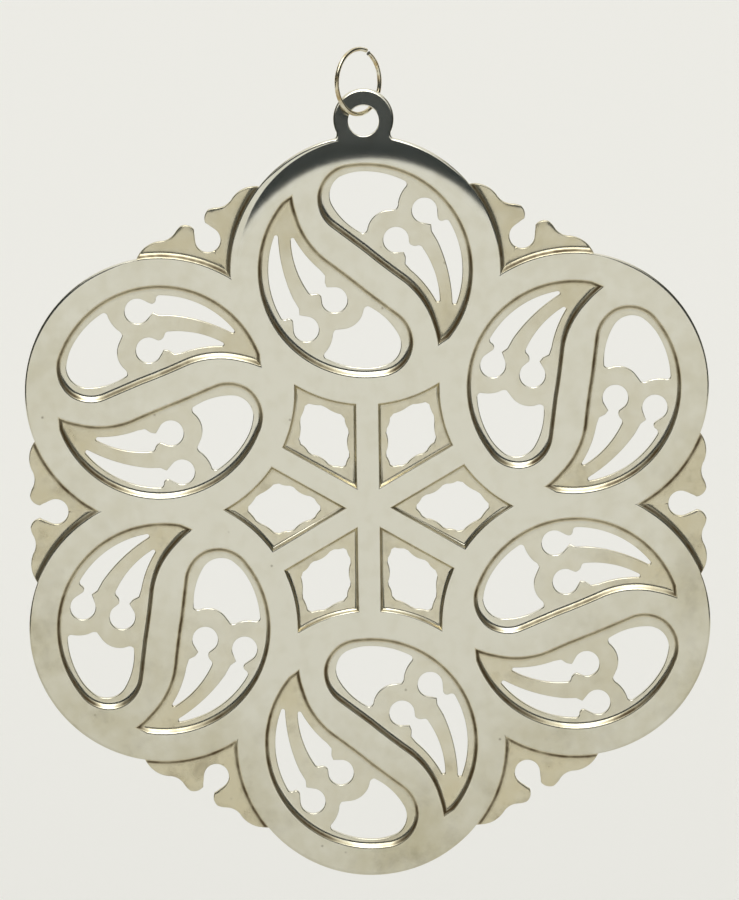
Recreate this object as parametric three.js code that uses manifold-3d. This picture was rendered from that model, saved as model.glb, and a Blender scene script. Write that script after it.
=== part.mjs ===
// A flat pierced snowflake ornament that hangs from an open jump ring.
// Six round lobes stand in a ring about a solid hub. Each lobe holds two sunk commas that chase
// each other, and each comma is pierced by one big opening and two daggers. Six sunk kites stand
// between the hub's spokes, and six low leaves fill the notches between the lobes.
// Lengths are in millimetres and angles in degrees. The plate hangs upright with its face towards
// -Y, and the origin lies on the inside of the ring's top, where a hook or thread carries it.

import * as THREE from 'three';
import { mergeVertices } from 'three/addons/utils/BufferGeometryUtils.js';
import Module from 'manifold-3d';

const wasm = await Module();
wasm.setup();

// Plate

const lobeCount = 6;
const lobePitchRadius = 26.6;
const lobeOverlap = 3.4;
const bandWidth = 2.85;
const bandInset = 0.1;
const edgeBevel = 0.15;
const spokeWidth = 2.3;
const plateThickness = 1.1;
const relief = 0.4;
const shoulderWidth = 0.45;

// Leaves in the notches between the lobes

const leafEyeRadius = 1.4;
const leafWeb = 3.7;

// Tab over the top lobe

const holeRadius = 1.7;
const holeRise = 1.6;
const tabRim = 1.65;
const tabRise = 0.2;
const neckInset = 0.35;

// Jump ring

const ringRadius = 3.6;
const wireRadius = 0.25;
const ringTurn = 47.5;
const ringShift = 0.45;
const ringForward = 0.3;
const ringClearance = 0.3;
const gapAngle = 63;
const gapWidth = 0.8;
const gapSpring = 0.3;

// How finely round stretches are divided

const chordError = 0.025;
const wireSides = 10;
const wireSteps = 56;

const radians = THREE.MathUtils.degToRad;

// Heights in the plate, from its flat back at zero up to its face

const faceHeight = plateThickness;
const floorHeight = plateThickness - relief;
const above = plateThickness + 1;
const below = -1;

// Lobes overlap their neighbours, and their raised bands end short of the lobe's own edge where
// they meet a kite or a leaf.
const halfPitch = radians(180 / lobeCount);
const lobeRadius = lobePitchRadius * Math.sin(halfPitch) + lobeOverlap / 2;
const bandOuterRadius = lobeRadius - bandInset;
const panelRadius = bandOuterRadius - bandWidth;
const holeHeight = lobePitchRadius + lobeRadius + holeRise;
const tabRadius = holeRadius + tabRim;
const neckHalfWidth = tabRadius - neckInset;

// Outlines
// An outline is a list of corners [x, y, bow], the solid on the left of the way round. The bow is
// how far the edge that leaves a corner swells outward. A negative bow hollows the edge.

function arcStep(radius) {
  return Math.min(2 * Math.acos(1 - chordError / Math.max(radius, 2 * chordError)), Math.PI / 4);
}

function arcOutline(corners) {
  const points = [];
  corners.forEach(([x, y, bow], index) => {
    const [nextX, nextY] = corners[(index + 1) % corners.length];
    const start = new THREE.Vector2(x, y);
    const end = new THREE.Vector2(nextX, nextY);
    points.push(start);
    if (bow === 0) return;
    const chord = end.clone().sub(start);
    const radius = (chord.lengthSq() / 4 + bow * bow) / (2 * bow);
    const outward = new THREE.Vector2(chord.y, -chord.x).normalize();
    const centre = start.clone().add(end).multiplyScalar(0.5);
    centre.addScaledVector(outward, bow - radius);
    const sweep = 4 * Math.atan((2 * bow) / chord.length());
    const pieces = Math.ceil(Math.abs(sweep) / arcStep(Math.abs(radius)));
    for (let piece = 1; piece < pieces; piece += 1) {
      points.push(start.clone().rotateAround(centre, (sweep * piece) / pieces));
    }
  });
  return points;
}

function circlePoints(radius, x, y, sides = Math.ceil((2 * Math.PI) / arcStep(radius))) {
  const circle = new THREE.ArcCurve(x, y, radius, 0, 2 * Math.PI);
  return circle.getPoints(sides).slice(0, -1);
}

// Adds the other half of an outline that is alike on both sides of the x axis. An edge that
// leaves an end of the half repeats, mirrored, the edge that comes in there.
function mirrorCorners(half) {
  const bowInto = (index) => (index > 0 ? half[index - 1][2] : 0);
  const last = half.length - 1;
  const corners = half.map(([x, y, bow], index) => [x, y, index === last && y === 0 ? bowInto(index) : bow]);
  const mirrored = half.map(([x, y], index) => [x, -y, bowInto(index)]);
  return [...corners, ...mirrored.filter(([, y]) => y !== 0).reverse()];
}

function scaleCorners(corners, factor) {
  return corners.map((corner) => corner.map((value) => value * factor));
}

// Solids

// Corners are rounded to a ten-thousandth, so faces at one height lie in exactly one plane.
function solidFrom(geometry) {
  const bare = geometry.index ? geometry.toNonIndexed() : geometry.clone();
  bare.deleteAttribute('normal');
  bare.deleteAttribute('uv');
  const merged = mergeVertices(bare, 1e-4);
  const rounded = Array.from(merged.attributes.position.array, (value) => Number(value.toFixed(4)));
  return new wasm.Manifold(new wasm.Mesh({
    numProp: 3,
    vertProperties: new Float32Array(rounded),
    triVerts: new Uint32Array(merged.index.array),
  }));
}

function geometryFrom(solid) {
  const mesh = solid.getMesh();
  const geometry = new THREE.BufferGeometry();
  geometry.setAttribute('position', new THREE.Float32BufferAttribute(mesh.vertProperties, 3));
  geometry.setIndex(Array.from(mesh.triVerts));
  const faceted = geometry.toNonIndexed();
  faceted.computeVertexNormals();
  return faceted;
}

// An outline carried straight from one height to another.
function slab(points, from, to) {
  const options = { depth: to - from, bevelEnabled: false };
  const geometry = new THREE.ExtrudeGeometry(new THREE.Shape(points), options);
  return solidFrom(geometry.translate(0, 0, from));
}

// A slab with both its ends drawn in by a slope: a raised panel, or the cut for a sunk one.
function slopedSlab(points, from, to, slopeHeight, slopeWidth) {
  const geometry = new THREE.ExtrudeGeometry(new THREE.Shape(points), {
    depth: to - from - 2 * slopeHeight,
    bevelThickness: slopeHeight,
    bevelSize: slopeWidth,
    bevelOffset: -slopeWidth,
    bevelSegments: 1,
  });
  return solidFrom(geometry.translate(0, 0, from + slopeHeight));
}

function turned(solid, angle) {
  return solid.rotate([0, 0, angle]);
}

function ringOf(solid, firstAngle) {
  const copies = [];
  for (let index = 0; index < lobeCount; index += 1) {
    copies.push(turned(solid, firstAngle + (360 * index) / lobeCount));
  }
  return copies;
}

// Commas: sunk panels whose backs follow the lobe's band from the head down to the tail, where they
// turn in to a hooked tip. A comma and its three openings are drawn about the lobe's centre in parts
// of the panel circle's radius.

const commaTail = -40;
const commaHead = 97.5;

function onCircle(angle) {
  return [Math.cos(radians(angle)), Math.sin(radians(angle))];
}

const commaPanel = [
  [...onCircle(commaTail), 1 - Math.cos(radians((commaHead - commaTail) / 2))],
  [...onCircle(commaHead), 0.079],
  [-0.442, 0.692, 0.042],
  [-0.3, 0.392, 0],
  [-0.017, 0.175, 0.004],
  [0.35, -0.113, -0.037],
  [0.61, -0.508, -0.007],
  [0.655, -0.722, 0],
];

const bigOpening = [
  [-0.021, 0.337, 0.008],
  [0.021, 0.371, -0.042],
  [0.2, 0.546, 0],
  [0.283, 0.554, 0.008],
  [0.308, 0.617, -0.012],
  [0.383, 0.767, 0.012],
  [0.371, 0.817, 0.029],
  [-0.05, 0.908, 0.008],
  [-0.225, 0.862, 0.054],
  [-0.296, 0.6, 0.029],
];

const outerDagger = [
  [0.838, -0.312, 0.083],
  [0.779, 0.438, 0.008],
  [0.733, 0.45, -0.021],
  [0.671, 0.479, 0],
  [0.667, 0.55, 0.088],
  [0.446, 0.592, 0.042],
  [0.525, 0.429, 0],
  [0.612, 0.413, 0],
  [0.617, 0.35, 0],
  [0.671, 0.258, -0.029],
  [0.8, -0.312, 0.017],
];

const innerDagger = [
  [0.683, -0.283, 0.037],
  [0.525, 0.204, 0.008],
  [0.479, 0.217, -0.012],
  [0.408, 0.242, 0],
  [0.4, 0.308, 0.083],
  [0.175, 0.312, 0.042],
  [0.271, 0.158, 0],
  [0.358, 0.158, 0],
  [0.375, 0.113, 0],
  [0.371, 0.05, 0],
  [0.417, -0.004, -0.017],
  [0.646, -0.288, 0.017],
];

// Kites: two straight sides along the spokes, and two hollowed by the bands on either hand

const kiteLobe = new THREE.Vector2(Math.cos(halfPitch), Math.sin(halfPitch));
kiteLobe.multiplyScalar(lobePitchRadius);
const kiteInner = spokeWidth / 2 / Math.sin(halfPitch);
const bandCrossing = Math.sqrt(bandOuterRadius ** 2 - kiteLobe.y ** 2);
const kiteOuter = kiteLobe.x - bandCrossing;
const notchRadius = kiteLobe.x + bandCrossing;
const spokeLength = lobePitchRadius - Math.sqrt(bandOuterRadius ** 2 - (spokeWidth / 2) ** 2);
const kiteSide = new THREE.Vector2(spokeLength, -spokeWidth / 2);
kiteSide.rotateAround(new THREE.Vector2(), halfPitch);
const kiteEdge = Math.hypot(kiteOuter - kiteSide.x, kiteSide.y);
const kiteHollow = bandOuterRadius - Math.sqrt(bandOuterRadius ** 2 - kiteEdge ** 2 / 4);

const kitePanel = mirrorCorners([
  [kiteOuter, 0, -kiteHollow],
  [kiteSide.x, kiteSide.y, 0],
  [kiteInner, 0, 0],
]);

// The cusped opening is drawn outward from the kite's inner corner, in parts of the kite's length.
const kiteOpening = mirrorCorners([
  [0.792, 0.018, -0.004],
  [0.73, 0.095, 0],
  [0.693, 0.12, -0.007],
  [0.588, 0.193, 0],
  [0.544, 0.201, -0.007],
  [0.46, 0.182, 0],
  [0.427, 0.168, -0.015],
  [0.296, 0.095, 0],
  [0.263, 0.073, -0.004],
  [0.219, 0.015, 0],
]);

// Leaves: each sunk along the two bands beside it, open outward past the leaf's own outline

const leafStartAngle = -16;
const leafTipAngle = -21;
const leafRootAngle = -40;

// A point at a radius and an angle about the middle of the lobe beside a leaf
function onLobe(radius, angle) {
  return new THREE.Vector2(...onCircle(angle)).multiplyScalar(radius).add(kiteLobe);
}

const leafStart = onLobe(bandOuterRadius, leafStartAngle);
const leafEdge = Math.hypot(leafStart.x - notchRadius, leafStart.y);
const leafHollow = bandOuterRadius - Math.sqrt(bandOuterRadius ** 2 - leafEdge ** 2 / 4);
const leafReach = notchRadius + lobeRadius;

const leafPanel = mirrorCorners([
  [leafReach, 0, 0],
  [leafReach, leafStart.y, 0],
  [leafStart.x, leafStart.y, -leafHollow],
  [notchRadius, 0, 0],
]);

// A leaf's outline is drawn outward about the centre of its keyhole's eye.

const leafCentre = notchRadius + leafWeb + leafEyeRadius;
const eyeSide = 75;
const eyeBow = leafEyeRadius * (1 - Math.cos(radians((180 - eyeSide) / 2)));

const leafTip = onLobe(lobeRadius - bandInset / 2, leafTipAngle);
const leafRoot = onLobe(lobeRadius - shoulderWidth, leafRootAngle);

const leafOutline = mirrorCorners([
  [-leafEyeRadius, 0, -eyeBow],
  [leafEyeRadius * Math.cos(radians(eyeSide)), leafEyeRadius * Math.sin(radians(eyeSide)), -0.05],
  [1.75, 0.72, 0.25],
  [2.85, 1.75, 0.05],
  [2.55, 2.7, -0.27],
  [2.6, 4.7, 0.45],
  [leafTip.x - leafCentre, leafTip.y, 0],
  [leafRoot.x - leafCentre, leafRoot.y, 0],
  [notchRadius - shoulderWidth - leafCentre, 0, 0],
]);

// The plate's blank, before its panels are sunk and pierced

function makeBlank() {
  const lobe = slopedSlab(circlePoints(lobeRadius, 0, lobePitchRadius), below, faceHeight, edgeBevel, edgeBevel);
  const leaf = slab(arcOutline(leafOutline), below, faceHeight).translate([leafCentre, 0, 0]);
  const hub = slab(circlePoints((kiteOuter + notchRadius) / 2, 0, 0), below, faceHeight);
  const tabCentre = holeHeight + tabRise;
  const head = slopedSlab(circlePoints(tabRadius, 0, tabCentre), below, faceHeight, edgeBevel, edgeBevel);
  const neckFoot = lobePitchRadius + lobeRadius - bandWidth / 2;
  const neckPoints = [
    new THREE.Vector2(-neckHalfWidth, neckFoot),
    new THREE.Vector2(neckHalfWidth, neckFoot),
    new THREE.Vector2(neckHalfWidth, tabCentre - Math.sqrt(tabRadius ** 2 - neckHalfWidth ** 2)),
    new THREE.Vector2(-neckHalfWidth, tabCentre - Math.sqrt(tabRadius ** 2 - neckHalfWidth ** 2)),
  ];
  const neck = slopedSlab(neckPoints, below, faceHeight, edgeBevel, edgeBevel);
  const pieces = [hub, head, neck, ...ringOf(lobe, 0), ...ringOf(leaf, 0)];
  const room = 2 * (lobePitchRadius + lobeRadius + holeHeight);
  const underside = solidFrom(new THREE.BoxGeometry(room, room, 2).translate(0, 0, -1));
  return pieces.reduce((whole, piece) => whole.add(piece)).subtract(underside);
}

// The sunk panels: a pair of commas in each lobe, and the kites and leaves between the lobes

function panelCut(corners) {
  return slopedSlab(arcOutline(corners), floorHeight, floorHeight + 3 * relief, relief, shoulderWidth);
}

function makePanels() {
  const comma = panelCut(scaleCorners(commaPanel, panelRadius));
  const commaPair = comma.add(turned(comma, 180)).translate([0, lobePitchRadius, 0]);
  return [...ringOf(commaPair, 0), ...ringOf(panelCut(kitePanel), 0), ...ringOf(panelCut(leafPanel), 0)];
}

// The openings of one lobe and of one kite

function makeOpenings() {
  const tracery = [bigOpening, outerDagger, innerDagger]
    .map((corners) => slab(arcOutline(scaleCorners(corners, panelRadius)), below, above))
    .reduce((whole, piece) => whole.add(piece));
  const tracedPair = tracery.add(turned(tracery, 180)).translate([0, lobePitchRadius, 0]);
  const kiteHole = slab(arcOutline(scaleCorners(kiteOpening, kiteOuter - kiteInner)), below, above);
  const hole = slab(circlePoints(holeRadius, 0, holeHeight), below, above);
  return [hole, ...ringOf(tracedPair, 0), ...ringOf(kiteHole.translate([kiteInner, 0, 0]), 0)];
}

function makePlate() {
  const cuts = [...makePanels(), ...makeOpenings()];
  const plate = cuts.reduce((whole, cut) => whole.subtract(cut), makeBlank());
  return geometryFrom(plate.translate([0, -holeHeight, 0]));
}

// Jump ring: round wire bent almost shut, one end sprung sideways past the other

class RingWire extends THREE.Curve {
  getPoint(share, target = new THREE.Vector3()) {
    const gap = THREE.MathUtils.radToDeg(gapWidth / ringRadius);
    const angle = radians(gapAngle - gap / 2 - share * (360 - gap));
    const sideways = gapSpring * (1 - share) ** 3;
    return target.set(ringRadius * Math.cos(angle), sideways, ringRadius * Math.sin(angle));
  }
}

function makeRing() {
  const section = new THREE.Shape(circlePoints(wireRadius, 0, 0, wireSides));
  return new THREE.ExtrudeGeometry(section, {
    steps: wireSteps,
    bevelEnabled: false,
    extrudePath: new RingWire(),
  });
}

// The least gap between the wire and the plate about its hole, with the middle of the ring at a
// given height over the middle of the hole.
function gapAtHole(ringHeight) {
  let least = Infinity;
  for (let degree = 180; degree < 360; degree += 1) {
    const along = ringRadius * Math.cos(radians(degree));
    const height = ringHeight + ringRadius * Math.sin(radians(degree));
    const across = -ringShift + along * Math.cos(radians(ringTurn));
    const depth = Math.abs(-ringForward + along * Math.sin(radians(ringTurn)));
    const clearOfRim = Math.max(holeRadius - Math.hypot(across, height), 0);
    const clearOfFace = Math.max(depth - plateThickness / 2, 0);
    least = Math.min(least, Math.hypot(clearOfRim, clearOfFace) - wireRadius);
  }
  return least;
}

// The ring hangs as high in the hole as its clearance lets it.
function seatHeight() {
  let low = ringRadius - holeRadius;
  let high = ringRadius + holeRadius;
  for (let round = 0; round < 30; round += 1) {
    const middle = (low + high) / 2;
    if (gapAtHole(middle) > ringClearance) low = middle;
    else high = middle;
  }
  return low;
}

const silverPlate = new THREE.MeshStandardMaterial({ color: '#cecbba', roughness: 0.32, metalness: 1 });
const silverWire = new THREE.MeshStandardMaterial({ color: '#c9c3a8', roughness: 0.22, metalness: 1 });

const ornament = new THREE.Group();

const ring = new THREE.Mesh(makeRing(), silverWire);
ring.name = 'jump_ring';
ring.position.z = wireRadius - ringRadius;
ring.rotation.z = radians(ringTurn);
ornament.add(ring);

const plate = new THREE.Mesh(makePlate(), silverPlate);
plate.name = 'snowflake_plate';
plate.position.set(ringShift, ringForward + plateThickness / 2, ring.position.z - seatHeight());
plate.rotation.x = Math.PI / 2;
ornament.add(plate);

export default ornament;
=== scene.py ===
"""Looks of a flat pierced snowflake ornament that hangs from an open jump ring.

The ornament is one silver-plated stamping: six round lobes about a solid hub, each lobe holding two
sunk commas, with sunk kites between the hub's spokes and low leaves in the notches. Its skin is built
in millimetres, lying face up, and then stands up in the frame with its face towards -Y.
"""

import logging
import math
from dataclasses import dataclass, field
from enum import Enum

import bmesh
import bpy
from mathutils import Matrix, Vector
from mathutils.geometry import intersect_point_line


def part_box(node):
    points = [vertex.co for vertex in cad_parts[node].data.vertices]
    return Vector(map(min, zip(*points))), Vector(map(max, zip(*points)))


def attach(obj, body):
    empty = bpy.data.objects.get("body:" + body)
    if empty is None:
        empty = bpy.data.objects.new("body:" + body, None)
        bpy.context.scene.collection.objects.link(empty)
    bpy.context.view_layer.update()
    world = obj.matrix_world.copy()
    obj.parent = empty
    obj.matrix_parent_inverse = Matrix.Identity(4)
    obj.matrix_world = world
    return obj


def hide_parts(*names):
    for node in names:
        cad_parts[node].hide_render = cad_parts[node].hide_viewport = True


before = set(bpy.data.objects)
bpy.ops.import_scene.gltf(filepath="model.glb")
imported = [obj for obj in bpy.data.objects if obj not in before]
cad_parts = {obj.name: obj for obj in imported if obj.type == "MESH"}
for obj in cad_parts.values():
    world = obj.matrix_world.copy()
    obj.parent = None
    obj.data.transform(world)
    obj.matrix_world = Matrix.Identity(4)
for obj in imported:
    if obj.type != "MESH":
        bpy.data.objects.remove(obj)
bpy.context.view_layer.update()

log = logging.getLogger("ornament")
Corner = tuple[float, float, float]
Column = list[tuple[Vector, float]]
Tree = bpy.types.NodeTree
Socket = bpy.types.NodeSocket
MM = 0.001
# The most that a chord may leave its arc, and the distance under which vertices are one, in millimetres
CHORD_ERROR = 0.004
MERGE_DISTANCE = 1e-4
# An edge that turns by more than this stays sharp in the polish, in degrees
SHARP_EDGE = 38.0
# The colour sockets of a Mix node, whose names its other sockets share
MIX_A, MIX_B, MIX_RESULT = 6, 7, 2


# Outlines


def arc_points(start: Vector, end: Vector, bow: float) -> list[Vector]:
    """Divide one edge of an outline into short chords.

    Args:
        start: Where the edge leaves.
        end: Where it arrives.
        bow: How far it swells to the right of the way round.

    Returns:
        The start and the points between, without the end.
    """
    chord = end - start
    if abs(bow) < 1e-9:
        return [start]
    radius = (chord.length_squared / 4 + bow * bow) / (2 * bow)
    centre = (start + end) / 2 + Vector((chord.y, -chord.x)).normalized() * (bow - radius)
    sweep = 4 * math.atan(2 * bow / chord.length)
    longest = math.radians(12)
    step = min(2 * math.acos(1 - CHORD_ERROR / max(abs(radius), 2 * CHORD_ERROR)), longest)
    pieces = math.ceil(abs(sweep) / step)
    turns = [Matrix.Rotation(sweep * piece / pieces, 2) for piece in range(pieces)]
    return [centre + turn @ (start - centre) for turn in turns]


def outline(corners: list[Corner], factor: float = 1) -> list[Vector]:
    """Draw a closed outline through corners given as x, y and bow, the solid on its left.

    Args:
        corners: The corners, each with the bow of the edge that leaves it.
        factor: The size of one drawing unit, in millimetres.

    Returns:
        The outline's points in order.
    """
    scaled = [tuple(value * factor for value in corner) for corner in corners]
    points: list[Vector] = []
    for (x, y, bow), (next_x, next_y, _) in zip(scaled, scaled[1:] + scaled[:1]):
        points += arc_points(Vector((x, y)), Vector((next_x, next_y)), bow)
    return points


def mirrored(half: list[Corner]) -> list[Corner]:
    """Complete an outline that is alike on both sides of the x axis."""
    into = [0.0] + [bow for _, _, bow in half[:-1]]
    last = len(half) - 1
    one_side = [(x, y, into[i] if i == last and y == 0 else bow) for i, (x, y, bow) in enumerate(half)]
    other_side = [(x, -y, into[i]) for i, (x, y, _) in enumerate(half) if y != 0]
    return one_side + other_side[::-1]


def grown(points: list[Vector], distance: float) -> list[Vector]:
    """Move a closed outline's edges outward by a distance, its corners kept sharp.

    Args:
        points: The outline in order.
        distance: How far outward, or inward where it is negative.

    Returns:
        The moved outline. Points that would pass a corner's bisector lie at the corner.
    """
    moved, corners = [], []
    count = len(points)
    sharp = math.cos(math.radians(20))
    for index, point in enumerate(points):
        before = (point - points[index - 1]).normalized()
        after = (points[(index + 1) % count] - point).normalized()
        first, second = Vector((before.y, -before.x)), Vector((after.y, -after.x))
        moved.append(point + (first + second) * distance / (1 + first.dot(second)))
        if before.cross(after) * distance < 0 and before.dot(after) < sharp:
            corners.append(index)
    for corner in corners:
        start = points[corner]
        bisector = moved[corner] - start
        for way in (-1, 1):
            index = (corner + way) % count
            while bisector.cross(points[index] - start) * bisector.cross(moved[index] - start) < 0:
                moved[index] = moved[corner].copy()
                index = (index + way) % count
    return moved


def turned(points: list[Vector], degrees: float, shift: Vector = Vector((0, 0))) -> list[Vector]:
    """Shift points and then turn them about the middle of the plate."""
    turn = Matrix.Rotation(math.radians(degrees), 2)
    return [turn @ (point + shift) for point in points]


def edge_gap(place: Vector, start: Vector, end: Vector) -> float:
    """The distance from a place to one edge of an outline."""
    _, share = intersect_point_line(place, start, end)
    return (place - start.lerp(end, min(max(share, 0), 1))).length


def eased(share: float) -> float:
    """Rise smoothly from 0 to 1, level at both ends and steepest in the middle."""
    share = min(max(share, 0.0), 1.0)
    return share**3 * (share * (share * 6 - 15) + 10)


def soil_and_shade_by_facing(upward: float) -> float:
    """The share of soil and painted shade that a slope keeps, by the way it faces.

    Args:
        upward: How far the slope looks up, from -1 to 1.

    Returns:
        The share: most for a slope that looks sideways, least for one that looks up so that the highlight
            shows.
    """
    # Painted shade by facing: kept on down slopes, strongest on sideways ones, mostly cleared from upward
    # ones
    facing_down, added_sideways, cleared_facing_up = 0.86, 0.28, 0.8
    return facing_down + added_sideways * eased((upward + 0.5) / 0.4) - cleared_facing_up * eased((upward - 0.88) / 0.12)


def polar(radius: float, degrees: float) -> Vector:
    """A point at a radius and an angle about the origin."""
    return Vector((math.cos(math.radians(degrees)), math.sin(math.radians(degrees)))) * radius


@dataclass(frozen=True)
class Step:
    """One row of a ledge: its way in, its drop, its soil and painted shade, and its share of the film on the
    field.
    """

    way_in: float
    drop: float
    soil_and_shade: float = 0.0
    film: float = 1.0


@dataclass(frozen=True)
class Shoulder:
    """The edge of a sunk field in section, and the line of soil and painted shade that it keeps.

    Attributes:
        width: How far it reaches in plan.
        slope: How steep its straight part is, in degrees.
        upper_round: The radius of the round at the face.
        soil_and_shade: The most soil and painted shade on it, from 0 to 1.
        soil_and_shade_reach: How far from the face that is.
        soil_and_shade_width: How far the soil and painted shade then fade.
        foot_width: The strip of the field that is laid with it.
        relief: How deep the field lies.
    """

    width: float
    slope: float
    upper_round: float
    soil_and_shade: float
    soil_and_shade_reach: float
    soil_and_shade_width: float
    foot_width: float = 0.12
    relief: float = 0.4

    def fall(self, reach: float) -> float:
        """How far the edge has fallen at a distance from the face.

        Args:
            reach: The distance, in plan.

        Returns:
            The drop: over a small round, down a straight slope and out along a wider round.
        """
        slope = math.radians(self.slope)
        lost = 1 - math.cos(slope)
        straight = self.relief / math.tan(slope)
        rounds = (self.width - straight) / (math.sin(slope) - lost / math.tan(slope))
        upper, lower = self.upper_round, rounds - self.upper_round
        reach = min(max(reach, 0.0), self.width)
        if reach < upper * math.sin(slope):
            return upper - math.sqrt(upper**2 - reach**2)
        back = self.width - reach
        if back < lower * math.sin(slope):
            return self.relief - lower + math.sqrt(lower**2 - back**2)
        return upper * lost + (reach - upper * math.sin(slope)) * math.tan(slope)

    def step(self, reach: float) -> Step:
        """The edge at a distance from the face: clean there, with soil and painted shade low on the slope."""
        # Painted shade with the soil: a brown line that is darkest part way down the slope and fades out
        # further down
        gathered = eased(reach / self.soil_and_shade_reach)
        faded = eased((reach - self.soil_and_shade_reach) / self.soil_and_shade_width)
        film_width = self.width / 1.5
        return Step(reach, self.fall(reach), self.soil_and_shade * gathered * (1 - faded), eased(reach / film_width))

    def steps(self) -> list[Step]:
        """The rows of the edge, from the face to the field inside it."""
        rows = 12
        reaches = [self.width * row / rows for row in range(rows + 1)]
        return [self.step(reach) for reach in reaches + [self.width + self.foot_width]]


class Tracery(Enum):
    """The three openings of a comma, in parts of the panel circle's radius."""

    BELLY = (
        (-0.021, 0.337, 0.008), (0.021, 0.371, -0.042), (0.2, 0.546, 0), (0.283, 0.554, 0.008),
        (0.308, 0.617, -0.012), (0.383, 0.767, 0.012), (0.371, 0.817, 0.029), (-0.05, 0.908, 0.008),
        (-0.225, 0.862, 0.054), (-0.296, 0.6, 0.029),
    )
    OUTER_DAGGER = (
        (0.838, -0.312, 0.083), (0.779, 0.438, 0.008), (0.733, 0.45, -0.021), (0.671, 0.479, 0),
        (0.667, 0.55, 0.088), (0.446, 0.592, 0.042), (0.525, 0.429, 0), (0.612, 0.413, 0),
        (0.617, 0.35, 0), (0.671, 0.258, -0.029), (0.8, -0.312, 0.017),
    )
    INNER_DAGGER = (
        (0.683, -0.283, 0.037), (0.525, 0.204, 0.008), (0.479, 0.217, -0.012), (0.408, 0.242, 0),
        (0.4, 0.308, 0.083), (0.175, 0.312, 0.042), (0.271, 0.158, 0), (0.358, 0.158, 0),
        (0.375, 0.113, 0), (0.371, 0.05, 0), (0.417, -0.004, -0.017), (0.646, -0.288, 0.017),
    )


# Skins


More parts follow.
